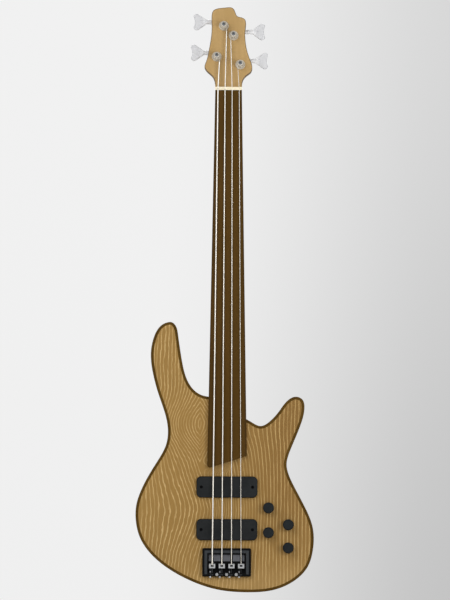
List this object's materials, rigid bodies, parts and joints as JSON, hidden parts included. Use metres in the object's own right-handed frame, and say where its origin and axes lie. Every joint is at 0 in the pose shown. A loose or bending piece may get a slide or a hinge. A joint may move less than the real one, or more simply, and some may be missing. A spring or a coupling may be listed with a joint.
{
  "type": "electric bass guitar",
  "caption": "Fretless electric bass guitar with a figured wooden body, bolted neck, tilted headstock with geared tuners, wide pickups, block bridge and control knobs.",
  "frame": {"origin": "front edge of the nut on the centre line, in the plane where the fingerboard is glued to the neck", "axes": "+X to the treble side, +Y to the back, +Z along the neck towards the headstock"},
  "size_m": [0.3247, 0.0614, 1.0646],
  "materials": {
    "figured_top": "oiled, wavy grain",
    "core_wood": "oiled",
    "centre_wood": "oiled",
    "dark_binding": "oiled, dark edge",
    "neck_wood": "satin",
    "dark_board": "oiled",
    "pale_nut": "polished",
    "plain_steel": "plain",
    "bright_chrome": "polished",
    "gear_brass": "cut",
    "string_wire": "wound",
    "black_cover": "satin black",
    "coil_winding": "fine winding",
    "sleeve_rubber": "soft",
    "black_casting": "black",
    "saddle_metal": "satin",
    "black_knob": "satin black",
    "control_case": "pressed",
    "wire_cover": "flexible"
  },
  "bodies": {
    "instrument": {"body_bass_board": "core_wood", "body_binding": "dark_binding", "body_center_board": "centre_wood", "body_top": "figured_top", "body_treble_board": "core_wood", "bridge_frame": "black_casting", "bridge_screws": "plain_steel", "cavity_cover": "black_cover", "fingerboard": "dark_board", "neck": "neck_wood", "neck_bolts": "plain_steel", "neck_ferrules": "plain_steel", "nut": "pale_nut", "output_jack": "bright_chrome", "pickup_sleeves": "sleeve_rubber", "post_bushings": "bright_chrome", "potentiometers": "control_case", "small_screws": "plain_steel", "strap_sockets": "bright_chrome", "string_a": "string_wire", "string_d": "string_wire", "string_e": "string_wire", "string_g": "string_wire", "truss_rod": "plain_steel", "tuner_plates": "bright_chrome", "wiring_harness": "wire_cover"},
    "key_e": {"tuner_worm_e": "plain_steel", "tuner_key_e": "bright_chrome"},
    "post_e": {"string_post_e": "bright_chrome", "tuner_gear_e": "gear_brass"},
    "key_a": {"tuner_worm_a": "plain_steel", "tuner_key_a": "bright_chrome"},
    "post_a": {"string_post_a": "bright_chrome", "tuner_gear_a": "gear_brass"},
    "key_d": {"tuner_worm_d": "plain_steel", "tuner_key_d": "bright_chrome"},
    "post_d": {"string_post_d": "bright_chrome", "tuner_gear_d": "gear_brass"},
    "key_g": {"tuner_worm_g": "plain_steel", "tuner_key_g": "bright_chrome"},
    "post_g": {"string_post_g": "bright_chrome", "tuner_gear_g": "gear_brass"},
    "neck_volume": {"neck_volume_knob": "black_knob"},
    "neck_tone": {"neck_tone_knob": "black_knob"},
    "bridge_tone": {"bridge_tone_knob": "black_knob"},
    "bridge_volume": {"bridge_volume_knob": "black_knob"},
    "intonation_e": {"intonation_screw_e": "plain_steel"},
    "saddle_e": {"saddle_e": "saddle_metal"},
    "intonation_a": {"intonation_screw_a": "plain_steel"},
    "saddle_a": {"saddle_a": "saddle_metal"},
    "intonation_d": {"intonation_screw_d": "plain_steel"},
    "saddle_d": {"saddle_d": "saddle_metal"},
    "intonation_g": {"intonation_screw_g": "plain_steel"},
    "saddle_g": {"saddle_g": "saddle_metal"},
    "neck_pickup": {"neck_pickup_cover": "black_cover", "neck_pickup_coil": "coil_winding", "neck_pickup_screws": "plain_steel"},
    "bridge_pickup": {"bridge_pickup_cover": "black_cover", "bridge_pickup_coil": "coil_winding", "bridge_pickup_screws": "plain_steel"}
  },
  "joints": [
    {"name": "turn_key_e", "type": "hinge", "parent": "instrument", "child": "key_e", "pos_m": [-0.02191, 0.03246, 0.06729], "axis": [-1, 0, 0], "continuous": true, "deforming": ["string_e"]},
    {"name": "turn_post_e", "type": "hinge", "parent": "instrument", "child": "post_e", "pos_m": [-0.02191, 0.01069, 0.06077], "axis": [0, 0.9848, -0.1736], "continuous": true, "deforming": ["string_e"]},
    {"name": "turn_key_a", "type": "hinge", "parent": "instrument", "child": "key_a", "pos_m": [-0.00918, 0.04233, 0.12328], "axis": [-1, 0, 0], "continuous": true, "deforming": ["string_a"]},
    {"name": "turn_post_a", "type": "hinge", "parent": "instrument", "child": "post_a", "pos_m": [-0.00918, 0.02057, 0.11676], "axis": [0, 0.9848, -0.1736], "continuous": true, "deforming": ["string_a"]},
    {"name": "turn_key_d", "type": "hinge", "parent": "instrument", "child": "key_d", "pos_m": [0.00849, 0.03922, 0.10563], "axis": [1, 0, 0], "continuous": true, "deforming": ["string_d"]},
    {"name": "turn_post_d", "type": "hinge", "parent": "instrument", "child": "post_d", "pos_m": [0.00849, 0.01745, 0.09911], "axis": [0, 0.9848, -0.1736], "continuous": true, "deforming": ["string_d"]},
    {"name": "turn_key_g", "type": "hinge", "parent": "instrument", "child": "key_g", "pos_m": [0.02113, 0.02991, 0.05283], "axis": [1, 0, 0], "continuous": true, "deforming": ["string_g"]},
    {"name": "turn_post_g", "type": "hinge", "parent": "instrument", "child": "post_g", "pos_m": [0.02113, 0.00814, 0.04631], "axis": [0, 0.9848, -0.1736], "continuous": true, "deforming": ["string_g"]},
    {"name": "turn_neck_volume", "type": "hinge", "parent": "instrument", "child": "neck_volume", "pos_m": [0.0758, 0.002, -0.76021], "axis": [0, -1, 0], "range_deg": [-150, 150]},
    {"name": "turn_neck_tone", "type": "hinge", "parent": "instrument", "child": "neck_tone", "pos_m": [0.112, 0.002, -0.79082], "axis": [0, -1, 0], "range_deg": [-150, 150]},
    {"name": "turn_bridge_tone", "type": "hinge", "parent": "instrument", "child": "bridge_tone", "pos_m": [0.112, 0.002, -0.83299], "axis": [0, -1, 0], "range_deg": [-150, 150]},
    {"name": "turn_bridge_volume", "type": "hinge", "parent": "instrument", "child": "bridge_volume", "pos_m": [0.0758, 0.002, -0.80542], "axis": [0, -1, 0], "range_deg": [-150, 150]},
    {"name": "slide_saddle_e", "type": "slide", "parent": "instrument", "child": "saddle_e", "axis": [0, 0, 1], "range_m": [-0.0025, 0.0035], "deforming": ["string_e"]},
    {"name": "turn_intonation_e", "type": "hinge", "parent": "instrument", "child": "intonation_e", "pos_m": [-0.02995, -0.0051, -0.8856], "axis": [0, 0, -1], "continuous": true, "deforming": ["string_e"]},
    {"name": "slide_saddle_a", "type": "slide", "parent": "instrument", "child": "saddle_a", "axis": [0, 0, 1], "range_m": [-0.0025, 0.0035], "deforming": ["string_a"]},
    {"name": "turn_intonation_a", "type": "hinge", "parent": "instrument", "child": "intonation_a", "pos_m": [-0.01238, -0.0051, -0.8856], "axis": [0, 0, -1], "continuous": true, "deforming": ["string_a"]},
    {"name": "slide_saddle_d", "type": "slide", "parent": "instrument", "child": "saddle_d", "axis": [0, 0, 1], "range_m": [-0.0025, 0.0035], "deforming": ["string_d"]},
    {"name": "turn_intonation_d", "type": "hinge", "parent": "instrument", "child": "intonation_d", "pos_m": [0.00518, -0.0051, -0.8856], "axis": [0, 0, -1], "continuous": true, "deforming": ["string_d"]},
    {"name": "slide_saddle_g", "type": "slide", "parent": "instrument", "child": "saddle_g", "axis": [0, 0, 1], "range_m": [-0.0025, 0.0035], "deforming": ["string_g"]},
    {"name": "turn_intonation_g", "type": "hinge", "parent": "instrument", "child": "intonation_g", "pos_m": [0.02275, -0.0051, -0.8856], "axis": [0, 0, -1], "continuous": true, "deforming": ["string_g"]},
    {"name": "slide_neck_pickup", "type": "slide", "parent": "instrument", "child": "neck_pickup", "axis": [0, -1, 0], "range_m": [-0.003, 0.002], "deforming": ["pickup_sleeves"]},
    {"name": "slide_bridge_pickup", "type": "slide", "parent": "instrument", "child": "bridge_pickup", "axis": [0, -1, 0], "range_m": [-0.003, 0.002], "deforming": ["pickup_sleeves"]}
  ],
  "couplings": [
    {"joint": "turn_post_e", "follows": "turn_key_e", "ratio": 0.05},
    {"joint": "turn_post_a", "follows": "turn_key_a", "ratio": 0.05},
    {"joint": "turn_post_d", "follows": "turn_key_d", "ratio": -0.05},
    {"joint": "turn_post_g", "follows": "turn_key_g", "ratio": -0.05},
    {"joint": "turn_intonation_e", "follows": "slide_saddle_e", "rad_per_m": 12566},
    {"joint": "turn_intonation_a", "follows": "slide_saddle_a", "rad_per_m": 12566},
    {"joint": "turn_intonation_d", "follows": "slide_saddle_d", "rad_per_m": 12566},
    {"joint": "turn_intonation_g", "follows": "slide_saddle_g", "rad_per_m": 12566}
  ]
}
